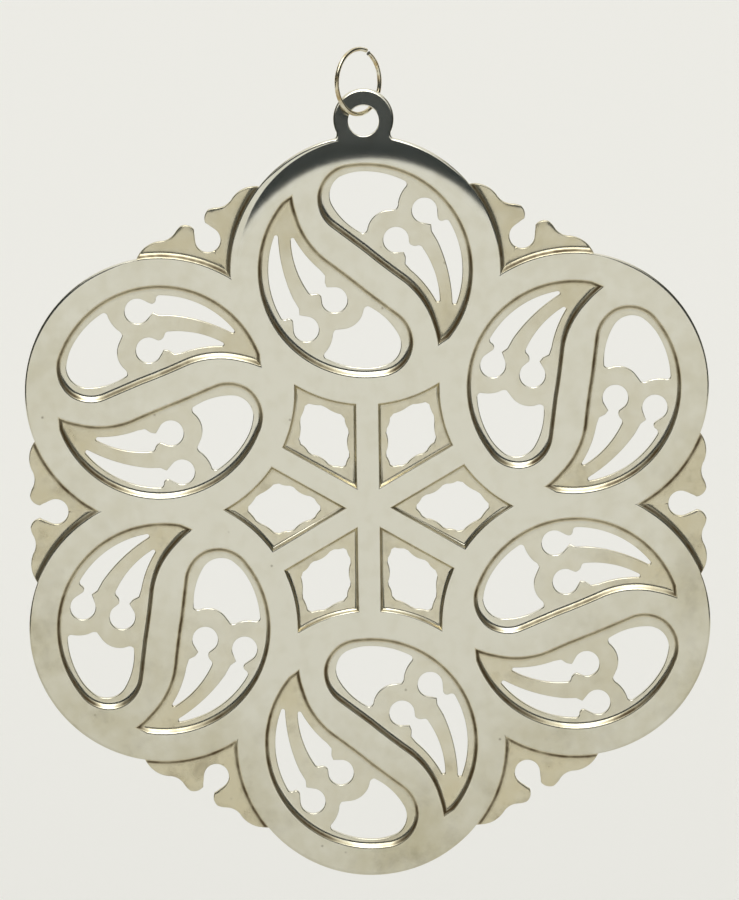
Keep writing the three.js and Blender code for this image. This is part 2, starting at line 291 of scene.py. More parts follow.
@dataclass
class Skin:
    """A closed skin under construction, in millimetres, with its face towards +Z."""

    mesh: bmesh.types.BMesh = field(default_factory=bmesh.new)

    def __post_init__(self) -> None:
        """Give the vertices a share of tarnish, soil and painted shade, for the finish to read."""
        self.tarnish_and_shade = self.mesh.verts.layers.float.new("tarnish_and_shade")

    def stack(self, rows: list[list[Vector]], soil_and_shade_rows: list[list[float]]) -> None:
        """Draw a closed loop and extrude it from row to row.

        Args:
            rows: The rows, each with the same number of places, in order.
            soil_and_shade_rows: The tarnish, soil and painted shade at each place of each row.
        """
        verts = [self.mesh.verts.new(place) for place in rows[0]]
        edges = [self.mesh.edges.new(pair) for pair in zip(verts, verts[1:] + verts[:1])]
        for vert, soil_and_shade in zip(verts, soil_and_shade_rows[0]):
            vert[self.tarnish_and_shade] = soil_and_shade
        for row, soil_and_shade in zip(rows[1:], soil_and_shade_rows[1:]):
            index = {vert: number for number, vert in enumerate(verts)}
            made = bmesh.ops.extrude_edge_only(self.mesh, edges=edges)["geom"]
            fresh = [item for item in made if isinstance(item, bmesh.types.BMVert)]
            for vert in fresh:
                source = next(e.other_vert(vert) for e in vert.link_edges if e.other_vert(vert) in index)
                number = index[source]
                vert.co, vert[self.tarnish_and_shade], verts[number] = row[number], soil_and_shade[number], vert
            lower = set(fresh)
            edges = [e for e in made if isinstance(e, bmesh.types.BMEdge) and lower.issuperset(e.verts)]

    def sink(self, points: list[Vector], height: float, steps: list[Step], films: list[float]) -> None:
        """Lead a ledge inward and down from an outline, row by row, and leave both its edges open.

        Args:
            points: The outline from which the ledge is measured.
            height: The height of that outline.
            steps: The rows of the ledge.
            films: The film of tarnish on the field inside, at each point.
        """
        rows = [
            [Vector((*point, height - step.drop)) for point in grown(points, -step.way_in)] for step in steps
        ]
        probe = 0.01
        inner = grown(points, -probe)
        # Painted shade by facing: each point's share of the ledge's brown line follows the way its slope
        # faces
        facing_shares = [soil_and_shade_by_facing((near.y - point.y) / probe) for point, near in zip(points, inner)]
        soil_and_shade_rows = [[step.soil_and_shade * share + step.film * film for share, film in zip(facing_shares, films)] for step in steps]
        self.stack(rows, soil_and_shade_rows)

    def open_edges(self, height: float | None = None) -> list[bmesh.types.BMEdge]:
        """The edges with a face on one side only, at one height or at any."""
        edges = [edge for edge in self.mesh.edges if edge.is_boundary]
        if height is None:
            return edges
        return [edge for edge in edges if all(abs(v.co.z - height) < MERGE_DISTANCE for v in edge.verts)]

    def close(self, height: float) -> list[bmesh.types.BMFace]:
        """Fill what the open edges at one height bound, as a flat field with holes in it."""
        # Points that a sharp corner has drawn together are merged first, because a fill can fail over them
        rim = dict.fromkeys(vert for edge in self.open_edges(height) for vert in edge.verts)
        bmesh.ops.remove_doubles(self.mesh, verts=list(rim), dist=MERGE_DISTANCE)
        made = bmesh.ops.triangle_fill(
            self.mesh, use_beauty=True, edges=self.open_edges(height), normal=(0, 0, 1)
        )
        return [item for item in made["geom"] if isinstance(item, bmesh.types.BMFace)]

    def finish(self, name: str, place: Matrix, flat_faces: set[bmesh.types.BMFace]) -> bpy.types.Object:
        """Shade the skin, put it in place and make it an object.

        Args:
            name: The piece's name.
            place: The way from the skin's millimetres to the frame.
            flat_faces: The faces that are left unsmoothed.

        Returns:
            The piece, with its place in its mesh.
        """
        bmesh.ops.recalc_face_normals(self.mesh, faces=self.mesh.faces)
        for face in self.mesh.faces:
            face.smooth = face not in flat_faces
        for edge in self.mesh.edges:
            edge.smooth = edge.calc_face_angle(math.pi) < math.radians(SHARP_EDGE)
        bmesh.ops.transform(self.mesh, matrix=place, verts=self.mesh.verts)
        data = bpy.data.meshes.new(name)
        self.mesh.to_mesh(data)
        self.mesh.free()
        self.level(data)
        piece = bpy.data.objects.new(name, data)
        bpy.context.scene.collection.objects.link(piece)
        return piece

    def level(self, data: bpy.types.Mesh) -> None:
        """Give all corners of the flat fields one normal, so that thin triangles don't show in the polish."""
        normals = [corner.vector.copy() for corner in data.corner_normals]
        for polygon in data.polygons:
            if not polygon.use_smooth:
                for corner in polygon.loop_indices:
                    normals[corner] = Vector((0, math.copysign(1, polygon.normal.y), 0))
        data.normals_split_custom_set(normals)


# Materials


def per_metre(size: float) -> float:
    """The texture scale that gives a pattern's features a size in millimetres."""
    return 1 / (size * MM)


def linear(code: str) -> tuple[float, float, float, float]:
    """Turn an sRGB hex colour to linear light."""
    parts = [int(code[i : i + 2], 16) / 255 for i in (1, 3, 5)]
    return (*(p / 12.92 if p <= 0.04045 else ((p + 0.055) / 1.055) ** 2.4 for p in parts), 1.0)


def add(
    tree: Tree, kind: str, inputs: dict | None = None, output: int | str = 0, **settings
) -> Socket | None:
    """Add a node with its settings, values and links.

    Args:
        tree: The node tree.
        kind: What follows "ShaderNode" in the node's type name.
        inputs: Values, or the sockets that feed them, by the input's name or number.
        output: The name or number of the output to return.
        **settings: The node's own properties.

    Returns:
        That output, or nothing from a node that has none.
    """
    node = tree.nodes.new("ShaderNode" + kind)
    for key, value in settings.items():
        setattr(node, key, value)
    for key, value in (inputs or {}).items():
        if isinstance(value, Socket):
            tree.links.new(value, node.inputs[key])
        else:
            node.inputs[key].default_value = value
    return node.outputs[output] if node.outputs else None


def new_material(name: str) -> tuple[bpy.types.Material, Tree]:
    """Make an empty node material."""
    material = bpy.data.materials.new(name)
    material.use_nodes = True
    material.node_tree.nodes.clear()
    return material, material.node_tree


def paper(name: str, colour: str) -> bpy.types.Material:
    """Make the finish of matt pressed paper, which has no shine: for the floor and the cards."""
    material, tree = new_material(name)
    shader = add(tree, "BsdfPrincipled", {"Base Color": linear(colour), "Roughness": 0.9})
    add(tree, "OutputMaterial", {"Surface": shader})
    return material


@dataclass(frozen=True)
class SilverPlate:
    """Silver plated on stamped brass, buffed, and then left to tarnish in the low places.

    Plating and buffing give a white mirror. Tarnish dims and yellows it where nobody rubs. The edges of the
    sunk fields carry a brown, half matt line that is partly soil and partly painted shade, darkest on slopes
    that face sideways. Sizes are in millimetres, and the places that the plate gives are in the frame's
    metres.
    """

    middle: tuple[float, float, float]
    crest_middle: tuple[float, float, float]
    rim_middle: tuple[float, float, float]
    tab_foot: float
    clean: str = "#e5e3d6"
    haze: str = "#c6bfa2"
    film: str = "#d9d0b2"
    # The brown of the specks and of the soil, and of the painted shade along the fields' edges
    soil_and_shade: str = "#5f4e30"
    roughness: float = 0.14
    film_roughness: float = 0.12
    soil_and_shade_roughness: float = 0.2
    soil_and_shade_matt: float = 0.6
    haze_start: float = 21.0
    haze_end: float = 40.0
    haze_top: float = 36.0
    haze_foot: float = -10.0
    cloud_size: float = 12.5
    patch_size: float = 2.0
    stain_size: float = 4.17
    cell_size: float = 2.5
    ripple_size: float = 3.03
    ripple_depth: float = 0.01
    crest_radius: float = 16.6
    crest_fade: float = 1.8
    crest_tilt: float = 12.0
    crest_sideways: float = 0.4
    crest_end_fade: float = 3.0
    rim_radius: float = 14.7
    rim_fade: float = 0.15

    def material(self) -> bpy.types.Material:
        """Build the finish.

        Returns:
            The material.
        """
        material, tree = new_material("silver_plate_polished")
        place = add(tree, "TexCoord", output="Object")
        flat = add(tree, "VectorMath", {0: place, 1: (1, 0, 1)}, operation="MULTIPLY")
        low, thin = self.haze_shares(tree, place, flat)
        patch = add(tree, "TexNoise", {
            "Vector": place, "Scale": per_metre(self.patch_size), "Detail": 4, "Roughness": 0.55,
        })
        patchy = add(tree, "MapRange", {
            "Value": patch, "From Min": 0.3, "From Max": 0.7, "To Min": 0.75, "To Max": 1.25,
        })
        # The mesh's share of tarnish, soil and painted shade along the fields' edges
        tarnish_and_shade = add(tree, "Attribute", attribute_name="tarnish_and_shade", output="Fac")
        held = add(tree, "Math", {0: tarnish_and_shade, 1: patchy}, operation="MULTIPLY")
        film = add(tree, "Math", {0: held, 1: 3.0}, operation="MULTIPLY", use_clamp=True)
        dimmed = add(tree, "Math", {0: film, 1: thin}, operation="MAXIMUM")
        soil_and_shade = self.soil_and_shade_share(tree, place, held, dimmed, low)

        mottle = add(tree, "MapRange", {
            "Value": patch, "From Min": 0.35, "From Max": 0.65, "To Min": -0.1, "To Max": 0.14,
        })
        hazed = add(tree, "Math", {0: thin, 1: mottle}, operation="ADD", use_clamp=True)
        colour = linear(self.clean)
        # Last comes the brown of soil and painted shade on the fields' edges
        for share, layer in (
            (hazed, self.haze), (self.specks(tree, place), self.soil_and_shade), (film, self.film), (soil_and_shade, self.soil_and_shade),
        ):
            colour = add(tree, "Mix", {
                "Factor": share, MIX_A: colour, MIX_B: linear(layer),
            }, data_type="RGBA", output=MIX_RESULT)

        filmed = add(tree, "MapRange", {
            "Value": held, "From Max": 0.33, "To Min": self.roughness,
            "To Max": self.roughness + self.film_roughness,
        })
        # Under the soil and painted shade the plate is rougher and half matt
        rough = add(tree, "Math", {0: soil_and_shade, 1: self.soil_and_shade_roughness, 2: filmed}, operation="MULTIPLY_ADD")
        thick = add(tree, "Math", {0: soil_and_shade, 1: 2.0}, operation="POWER")
        metal = add(tree, "MapRange", {"Value": thick, "To Min": 1.0, "To Max": 1 - self.soil_and_shade_matt})

        # Buffing leaves ripples 3 mm long and less than 0.01 mm deep, which bend what the face mirrors
        ripple = add(tree, "TexNoise", {"Vector": place, "Scale": per_metre(self.ripple_size), "Detail": 2})
        uneven = add(tree, "Bump", {
            "Height": ripple, "Distance": self.ripple_depth * MM, "Strength": 1.0,
            "Normal": self.crest(tree, place, flat),
        })
        shader = add(tree, "BsdfPrincipled", {
            "Base Color": colour, "Metallic": metal, "Roughness": rough, "Normal": uneven,
        })
        add(tree, "OutputMaterial", {"Surface": shader})
        return material

    def haze_shares(self, tree: Tree, place: Socket, flat: Socket) -> tuple[Socket, Socket]:
        """Let a thin haze drift over the outer lobes in clouds of 12 mm, most over the lower ones.

        Args:
            tree: The material's node tree.
            place: The piece's own coordinates.
            flat: The same without their depth.

        Returns:
            How low a place lies, from 0.1 to 1, and its share of haze.
        """
        reach = add(tree, "VectorMath", {0: flat, 1: self.middle}, operation="DISTANCE", output="Value")
        outer = add(tree, "MapRange", {
            "Value": reach, "From Min": self.haze_start * MM, "From Max": self.haze_end * MM, "To Max": 0.9,
        })
        drift = add(tree, "TexNoise", {"Vector": place, "Scale": per_metre(self.cloud_size), "Detail": 3})
        cloud = add(tree, "MapRange", {"Value": drift, "From Min": 0.4, "From Max": 0.66, "To Min": 0.35})
        low = add(tree, "MapRange", {
            "Value": add(tree, "SeparateXYZ", {0: place}, output="Z"),
            "From Min": self.middle[2] + self.haze_top * MM, "From Max": self.middle[2] + self.haze_foot * MM,
            "To Min": 0.1,
        })
        lower = add(tree, "Math", {0: cloud, 1: low}, operation="MULTIPLY")
        return low, add(tree, "Math", {0: outer, 1: lower}, operation="MULTIPLY")

    def soil_and_shade_share(self, tree: Tree, place: Socket, held: Socket, dimmed: Socket, low: Socket) -> Socket:
        """Gather soil and painted shade on the fields' edges, and brown stains some 4 mm across low on the
        plate.

        Args:
            tree: The material's node tree.
            place: The piece's own coordinates.
            held: The tarnish, soil and painted shade that the surface holds.
            dimmed: Its film or haze, whichever is more.
            low: How low it lies.

        Returns:
            The share of soil and painted shade.
        """
        # Painted shade with soil: the fields' edges turn brown where the mesh's share runs high
        ledge = add(tree, "MapRange", {"Value": held, "From Min": 0.35, "From Max": 1.05})
        blot = add(tree, "TexNoise", {
            "Vector": place, "Scale": per_metre(self.stain_size), "Detail": 5, "Roughness": 0.65,
        })
        blotted = add(tree, "MapRange", {"Value": blot, "From Min": 0.5, "From Max": 0.72, "To Max": 0.42})
        stained = add(tree, "Math", {0: dimmed, 1: low}, operation="MULTIPLY")
        return add(
            tree, "Math", {0: blotted, 1: stained, 2: ledge}, operation="MULTIPLY_ADD", use_clamp=True
        )

    def specks(self, tree: Tree, place: Socket) -> Socket:
        """Scatter specks of tarnish up to 0.4 mm wide.

        Args:
            tree: The material's node tree.
            place: The piece's own coordinates.

        Returns:
            The specks' share of soil: half at a speck's middle, in one cell out of three.
        """
        distance = add(tree, "TexVoronoi", {"Vector": place, "Scale": per_metre(self.cell_size)})
        speck = add(tree, "MapRange", {
            "Value": distance, "From Min": 0.03, "From Max": 0.08, "To Min": 0.5, "To Max": 0.0,
        })
        number = add(tree, "SeparateColor", {0: distance.node.outputs["Color"]})
        chosen = add(tree, "Math", {0: number, 1: 0.68}, operation="GREATER_THAN")
        return add(tree, "Math", {0: speck, 1: chosen}, operation="MULTIPLY")

    def crest(self, tree: Tree, place: Socket, flat: Socket) -> Socket:
        """Lean the surface back over the crest and the tab, where the real plate's polish rolls away.

        Args:
            tree: The material's node tree.
            place: The piece's own coordinates.
            flat: The same without their depth.

        Returns:
            The surface's normal, leaning outward from the crest's middle.
        """
        away = add(tree, "VectorMath", {0: flat, 1: self.crest_middle}, operation="SUBTRACT")
        reach = add(tree, "VectorMath", {0: away}, operation="LENGTH", output="Value")
        share = add(tree, "MapRange", {
            "Value": reach, "From Min": (self.crest_radius - self.crest_fade) * MM,
            "From Max": (self.crest_radius + self.crest_fade) * MM,
            "To Max": math.tan(math.radians(self.crest_tilt)),
        }, interpolation_type="SMOOTHSTEP")
        height = add(tree, "SeparateXYZ", {0: place}, output="Z")
        above = add(tree, "MapRange", {
            "Value": height, "From Min": self.crest_middle[2] - self.crest_end_fade * MM,
            "From Max": self.crest_middle[2] + self.crest_end_fade * MM,
        })
        lobe = add(tree, "VectorMath", {0: flat, 1: self.rim_middle}, operation="DISTANCE", output="Value")
        on_lobe = add(tree, "MapRange", {
            "Value": lobe, "From Min": (self.rim_radius - self.rim_fade) * MM,
            "From Max": (self.rim_radius + self.rim_fade) * MM, "To Min": 1.0, "To Max": 0.0,
        }, interpolation_type="SMOOTHSTEP")
        on_tab = add(tree, "Math", {0: height, 1: self.tab_foot}, operation="GREATER_THAN")
        either = add(tree, "Math", {0: on_lobe, 1: on_tab}, operation="MAXIMUM")
        both = add(tree, "Math", {0: above, 1: either}, operation="MULTIPLY")
        slope = add(tree, "Math", {0: both, 1: share}, operation="MULTIPLY")
        steep = add(tree, "VectorMath", {0: away, 1: (self.crest_sideways, 0, 1)}, operation="MULTIPLY")
        outward = add(tree, "VectorMath", {0: steep}, operation="NORMALIZE")
        lean = add(tree, "VectorMath", {0: outward, "Scale": slope}, operation="SCALE")
        lean_now = add(
            tree, "VectorTransform", {0: lean},
            vector_type="VECTOR", convert_from="OBJECT", convert_to="WORLD",
        )
        upright = add(tree, "NewGeometry", output="Normal")
        leaning = add(tree, "VectorMath", {0: upright, 1: lean_now}, operation="ADD")
        return add(tree, "VectorMath", {0: leaning}, operation="NORMALIZE")


@dataclass(frozen=True)
class SilverWire:
    """Drawn brass wire, thinly silvered: a yellowish mirror, duller where the silver has worn.

    The draw marks are a few hundredths of a millimetre wide. They are drawn a third of a millimetre
    wide, the finest that the picture shows.
    """

    clean: str = "#e8e2cc"
    worn: str = "#c4ae80"
    roughness: float = 0.16
    worn_roughness: float = 0.15
    wear_size: float = 1.11
    mark_size: float = 0.333
    mark_depth: float = 0.008

    def material(self) -> bpy.types.Material:
        """Build the finish.

        Returns:
            The material.
        """
        material, tree = new_material("silver_plated_wire_drawn")
        place = add(tree, "TexCoord", output="Object")
        wear = add(tree, "TexNoise", {"Vector": place, "Scale": per_metre(self.wear_size), "Detail": 4})
        share = add(tree, "MapRange", {"Value": wear, "From Min": 0.4, "From Max": 0.68})
        colour = add(tree, "Mix", {
            "Factor": share, MIX_A: linear(self.clean), MIX_B: linear(self.worn),
        }, data_type="RGBA", output=MIX_RESULT)
        rough = add(
            tree, "Math", {0: share, 1: self.worn_roughness, 2: self.roughness}, operation="MULTIPLY_ADD"
        )
        marks = add(tree, "TexNoise", {"Vector": place, "Scale": per_metre(self.mark_size), "Detail": 2})
        bump = add(tree, "Bump", {"Height": marks, "Distance": self.mark_depth * MM, "Strength": 1.0})
        shader = add(tree, "BsdfPrincipled", {
            "Base Color": colour, "Metallic": 1.0, "Roughness": rough, "Normal": bump,
        })
        add(tree, "OutputMaterial", {"Surface": shader})
        return material


# The plate


@dataclass
class Plate:
    """The stamped and pierced plate, with its tab, in millimetres and degrees."""

    lobe_count: int = 6
    lobe_pitch_radius: float = 26.6
    lobe_overlap: float = 3.4
    band_width: float = 2.85
    band_inset: float = 0.1
    edge_round: float = 0.15
    rim_round: float = 0.32
    rim_depth: float = 0.2
    spoke_width: float = 2.3
    thickness: float = 1.1
    # The sunk fields' edges, each with a brown line of soil and painted shade low on its slope
    wide_edge: Shoulder = Shoulder(0.86, 46.0, 0.35, soil_and_shade=0.8, soil_and_shade_reach=0.29, soil_and_shade_width=0.38)
    kite_edge: Shoulder = Shoulder(0.6, 52.0, 0.14, soil_and_shade=0.55, soil_and_shade_reach=0.14, soil_and_shade_width=0.24)
    film: float = 0.27
    kite_film: float = 0.2
    film_head: float = 0.07
    film_spread: float = 1.15
    rim_film: float = 0.1
    crest_shift: float = 0.6
    crest_drop: float = 3.5
    crest_rim_shift: float = 0.5
    crest_tab_drop: float = 0.6
    comma_tail: float = -40.0
    comma_head: float = 97.5
    opening_round: float = 0.1
    back_round: float = 0.08
    leaf_eye_radius: float = 1.4
    leaf_eye_half: float = 75.0
    leaf_web: float = 3.7
    leaf_tip: float = 51.0
    leaf_swell: float = 0.06
    leaf_swell_start: float = 0.8
    leaf_swell_width: float = 2.2
    hole_radius: float = 1.7
    hole_rise: float = 1.6
    tab_rim: float = 1.65
    tab_rise: float = 0.2
    neck_inset: float = 0.35
    neck_fillet: float = 0.5

    @property
    def lobe_radius(self) -> float:
        """The radius of a lobe's outer edge."""
        return self.lobe_pitch_radius * math.sin(math.pi / self.lobe_count) + self.lobe_overlap / 2

    @property
    def band_outer_radius(self) -> float:
        """The radius at which a lobe's raised band ends."""
        return self.lobe_radius - self.band_inset

    @property
    def panel_radius(self) -> float:
        """The radius of the circle that holds a lobe's two commas."""
        return self.band_outer_radius - self.band_width

    @property
    def floor_height(self) -> float:
        """The height of the sunk fields over the back."""
        return self.thickness - self.wide_edge.relief

    @property
    def hole_height(self) -> float:
        """How far the hole stands above the middle of the plate."""
        return self.lobe_pitch_radius + self.lobe_radius + self.hole_rise

    @property
    def tab_radius(self) -> float:
        """The radius of the tab's head."""
        return self.hole_radius + self.tab_rim

    @property
    def top(self) -> float:
        """How far the tab's top stands above the middle of the plate."""
        return self.hole_height + self.tab_rise + self.tab_radius

    @property
    def side_lobe(self) -> Vector:
        """The middle of the lobe above the x axis, with a kite and a leaf along that axis."""
        return polar(self.lobe_pitch_radius, 180 / self.lobe_count)

    @property
    def band_crossing(self) -> float:
        """Half the distance between the two places where neighbouring bands cross."""
        return math.sqrt(self.band_outer_radius**2 - self.side_lobe.y**2)

    def angles(self, first: float) -> list[float]:
        """The six angles of parts that are repeated about the hub."""
        return [first + 360 * index / self.lobe_count for index in range(self.lobe_count)]

    def opening_steps(self, height: float) -> list[Step]:
        """The rows of an opening from its rounded upper edge down to the back."""
        turns = [math.radians(30 * step) for step in range(4)]
        edge = self.opening_round
        upper = [Step(edge * (math.sin(a) - 1), edge * (1 - math.cos(a))) for a in turns]
        return upper + [Step(0, height - self.back_round), Step(-self.back_round, height)]

    def comma_films(self, points: list[Vector]) -> list[float]:
        """The film on a comma's field, thin at its head and thicker towards its tail."""
        tail = polar(self.panel_radius, self.comma_tail)
        spread = self.film_spread * self.panel_radius
        shares = [1 - eased((point - tail).length / spread) for point in points]
        return [self.film_head + (self.film - self.film_head) * share for share in shares]

    def comma(self) -> list[Corner]:
        """The outline of a comma, in parts of the panel circle's radius."""
        tail, head = self.comma_tail, self.comma_head
        return [
            (*polar(1, tail), 1 - math.cos(math.radians((head - tail) / 2))), (*polar(1, head), 0.079),
            (-0.442, 0.692, 0.042), (-0.3, 0.392, 0), (-0.017, 0.175, 0.004), (0.35, -0.113, -0.037),
            (0.61, -0.508, -0.007), (0.655, -0.722, 0),
        ]

    def kite(self) -> tuple[list[Corner], list[Corner]]:
        """The outlines of a kite and of its opening."""
        inner = self.spoke_width / 2 / math.sin(math.pi / self.lobe_count)
        outer = self.side_lobe.x - self.band_crossing
        spoke = self.lobe_pitch_radius - math.sqrt(self.band_outer_radius**2 - (self.spoke_width / 2) ** 2)
        side = Matrix.Rotation(math.pi / self.lobe_count, 2) @ Vector((spoke, -self.spoke_width / 2))
        edge = math.hypot(outer - side.x, side.y)
        hollow = self.band_outer_radius - math.sqrt(self.band_outer_radius**2 - edge**2 / 4)
        panel = mirrored([(outer, 0, -hollow), (side.x, side.y, 0), (inner, 0, 0)])
        opening = mirrored([
            (0.792, 0.018, -0.004), (0.73, 0.095, 0), (0.693, 0.12, -0.007), (0.588, 0.193, 0),
            (0.544, 0.201, -0.007), (0.46, 0.182, 0), (0.427, 0.168, -0.015), (0.296, 0.095, 0),
            (0.263, 0.073, -0.004), (0.219, 0.015, 0),
        ])
        length = outer - inner
        return panel, [(x * length + inner, y * length, bow * length) for x, y, bow in opening]

    def half_leaf(self) -> tuple[list[Vector], int]:
        """The outer side of half a leaf, above the x axis.

        Returns:
            Points from the notch along the axis to the keyhole's eye, and from there along the leaf's
            outline to its tip; and the number of points before the outline starts.
        """
        rim = self.lobe_radius - self.edge_round
        notch = self.side_lobe.x + math.sqrt(rim**2 - self.side_lobe.y**2)
        centre = self.side_lobe.x + self.band_crossing + self.leaf_web + self.leaf_eye_radius
        eye = centre - self.leaf_eye_radius
        tip = polar(self.lobe_radius, 180 / self.lobe_count - self.leaf_tip) + self.side_lobe
        shares = (0, 0.06, 0.14, 0.24, 0.36, 0.5, 0.66, 0.82, 0.93)
        axis = [Vector((notch + (eye - notch) * share, 0)) for share in shares]
        side = polar(self.leaf_eye_radius, self.leaf_eye_half)
        bow = -self.leaf_eye_radius * (1 - math.cos(math.radians((180 - self.leaf_eye_half) / 2)))
        corners = [
            (-self.leaf_eye_radius, 0, bow), (side.x, side.y, -0.02), (1.1, 1.03, -0.02), (1.75, 0.72, 0.25),
            (2.85, 1.75, 0.05), (2.55, 2.7, -0.27), (2.6, 4.7, 0.45), (tip.x - centre, tip.y, 0),
        ]
        edge: list[Vector] = []
        for (x, y, swell), (next_x, next_y, _) in zip(corners, corners[1:]):
            edge += arc_points(Vector((x + centre, y)), Vector((next_x + centre, next_y)), swell)
        return axis + edge + [tip], len(axis)

    def leaf_columns(self) -> list[Column]:
        """Lay half a leaf's surface out in columns from the lobe's rim to the leaf's own outline.

        Returns:
            One column for each point of half_leaf: places with their tarnish, soil and painted shade.
        """
        outer, first = self.half_leaf()
        outline_edges = list(zip(outer[first:], outer[first + 1 :]))
        rim = self.lobe_radius - self.edge_round
        clean_depth = 0.6
        columns = []
        for point in outer:
            away = point - self.side_lobe
            depth = away.length - rim
            column = []
            for reach in self.rows(depth):
                place = self.side_lobe + away.normalized() * (rim + reach)
                gap = min(edge_gap(place, a, b) for a, b in outline_edges)
                spot, soil_and_shade = self.leaf_point(place, reach, gap)
                column.append((spot, soil_and_shade * min(depth / clean_depth, 1)))
            columns.append(column)
        return columns

    def leaf_point(self, place: Vector, reach: float, gap: float) -> tuple[Vector, float]:
        """Give a place on a leaf, or on a lobe's rim, its height and its tarnish, soil and painted shade.

        Args:
            place: The place in plan.
            reach: Its distance outward from the face's edge.
            gap: Its distance inward from the outline.

        Returns:
            The place with its height, and its tarnish, soil and painted shade.
        """
        swell = self.leaf_swell * eased((reach - self.leaf_swell_start) / self.leaf_swell_width)
        edge = self.edge_round
        inside = min(gap / edge, 1.0)
        roll = edge * (1 - math.sqrt(max(1 - (1 - inside) ** 2, 0.0)))
        step = self.wide_edge.step(reach)
        height = self.thickness - step.drop + swell - roll
        return Vector((*place, height)), step.soil_and_shade + step.film * self.film

    def rows(self, depth: float) -> list[float]:
        """Where the rows of a column stand between the face's edge and the outline."""
        shoulder_rows, field_rows, edge_rows, least_depth = 8, 5, 4, 1.4
        full = max(depth, least_depth)
        shoulder = [self.wide_edge.width * row / shoulder_rows for row in range(shoulder_rows + 1)]
        turns = [math.radians(90 - 90 * row / edge_rows) for row in range(edge_rows + 1)]
        edge = [full - self.edge_round * math.sin(turn) for turn in turns]
        between = [shoulder[-1] + (edge[0] - shoulder[-1]) * row / field_rows for row in range(1, field_rows)]
        return [reach * depth / full for reach in shoulder + between + edge]

    def tab_outline(self) -> list[Vector]:
        """The outline from the top lobe's right side up round the tab and down to its left side."""
        half = self.tab_radius - self.neck_inset
        centre = self.hole_height + self.tab_rise - self.lobe_pitch_radius
        fillet = Vector((half + self.neck_fillet, 0))
        fillet.y = math.sqrt((self.lobe_radius + self.neck_fillet) ** 2 - fillet.x**2)
        lobe_angle = math.degrees(math.atan2(fillet.y, fillet.x))
        head_angle = math.degrees(math.asin(math.sqrt(self.tab_radius**2 - half**2) / self.tab_radius))
        fillet_steps, head_steps = 5, 44
        fillet_angles = [180 + lobe_angle * (1 - step / fillet_steps) for step in range(fillet_steps + 1)]
        right = [fillet + polar(self.neck_fillet, angle) for angle in fillet_angles]
        sweep = 180 + 2 * head_angle
        head = [
            polar(self.tab_radius, sweep * step / head_steps - head_angle) + Vector((0, centre))
            for step in range(head_steps + 1)
        ]
        left = [Vector((-point.x, point.y)) for point in reversed(right)]
        return right + head + left

    def rim_columns(self, with_tab: bool) -> list[Column]:
        """Lay a lobe's free rim out in columns, from the right tip to the left one.

        Args:
            with_tab: Whether the lobe carries the tab.

        Returns:
            The columns, about the lobe's middle with the lobe's outward way along +Y.
        """
        steps, blended = 17, 6
        tab = self.tab_outline() if with_tab else []
        first = 90 - self.leaf_tip
        last = math.degrees(math.atan2(tab[0].y, tab[0].x)) if tab else 90.0
        right = [polar(self.lobe_radius, first + (last - first) * step / steps) for step in range(1, steps)]
        left = [Vector((-point.x, point.y)) for point in reversed(right)]
        path = right + (tab or [Vector((0, self.lobe_radius))]) + left
        ends = [polar(self.lobe_radius, first), polar(self.lobe_radius, 180 - first)]
        closed = [ends[0]] + path + [ends[1], Vector((0, 0))]
        inner = grown(closed, -self.rim_round)[1:-2]
        count = len(self.rows(1.0))
        turns = [math.radians(90 * row / (count - 1)) for row in range(count)]
        columns = []
        for index, (start, end) in enumerate(zip(inner, path)):
            full = eased((min(index, len(path) - 1 - index) + 1) / blended)
            width = self.edge_round + (self.rim_round - self.edge_round) * full
            depth = self.edge_round + (self.rim_depth - self.edge_round) * full
            face_edge = end.lerp(start, width / self.rim_round)
            column = []
            for turn in turns:
                height = self.thickness - depth * (1 - math.cos(turn))
                place = Vector((*face_edge.lerp(end, math.sin(turn)), height))
                column.append((place, self.rim_film * math.sin(turn)))
            columns.append(column)
        return columns

    def skirt(self) -> tuple[list[Column], list[Vector]]:
        """Lay out each lobe's free rim and each leaf's two halves, all the way round the plate.

        Returns:
            The columns in order, and the outline along which they end.
        """
        half = self.leaf_columns()
        on_axis = self.half_leaf()[1]
        other = [[(Vector((p.x, -p.y, p.z)), soil_and_shade) for p, soil_and_shade in column] for column in half]
        lobe = Vector((0, self.lobe_pitch_radius, 0))
        columns: list[Column] = []
        edge: list[Vector] = []
        for index, angle in enumerate(self.angles(60)):
            turn = Matrix.Rotation(math.radians(angle), 3, "Z")
            leaf = [[(turn @ p, soil_and_shade) for p, soil_and_shade in column] for column in other[::-1] + half[1:]]
            shift = Matrix.Rotation(math.radians(angle - 60), 3, "Z")
            free = self.rim_columns(with_tab=index == 0)
            rim = [[(shift @ (p + lobe), soil_and_shade) for p, soil_and_shade in column] for column in free]
            columns += leaf + rim
            first, last = len(other) - on_axis, len(other) + on_axis
            edge += [column[-1][0] for column in leaf[:first] + leaf[last:] + rim]
        return columns, edge

